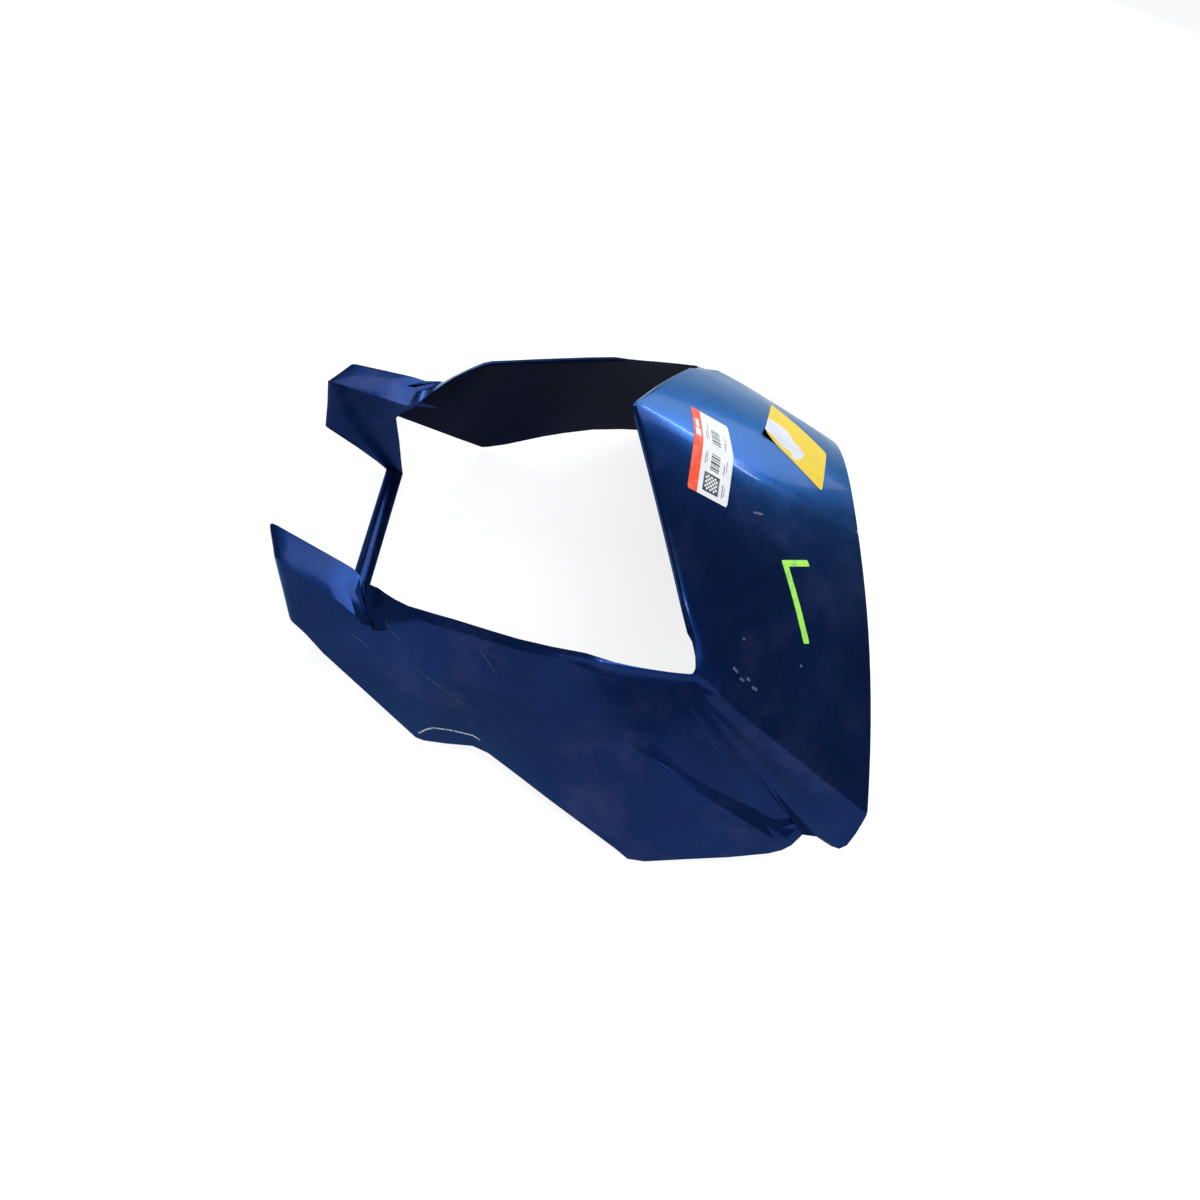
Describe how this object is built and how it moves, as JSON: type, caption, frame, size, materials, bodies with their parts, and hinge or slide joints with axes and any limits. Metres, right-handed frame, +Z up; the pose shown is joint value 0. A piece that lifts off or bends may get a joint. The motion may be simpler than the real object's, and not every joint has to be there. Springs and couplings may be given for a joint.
{
  "type": "motorcycle front fairing",
  "caption": "Glossy blue one-piece front fairing with a ridged nose, an open headlight window, flared side wings, two rear horns and a thin crossbar",
  "frame": {"origin": "centre of the bounding box, on the floor", "axes": "+X runs from the horns to the nose, +Y across to the left wing, +Z up; it lies nose up on the lips of its arms and the lower corners of its wings"},
  "size_m": [0.517, 0.547, 0.2446],
  "materials": {
    "paint": "deep glossy navy blue paint on moulded plastic"
  },
  "bodies": {
    "root": {"fairing": "paint"}
  },
  "joints": []
}
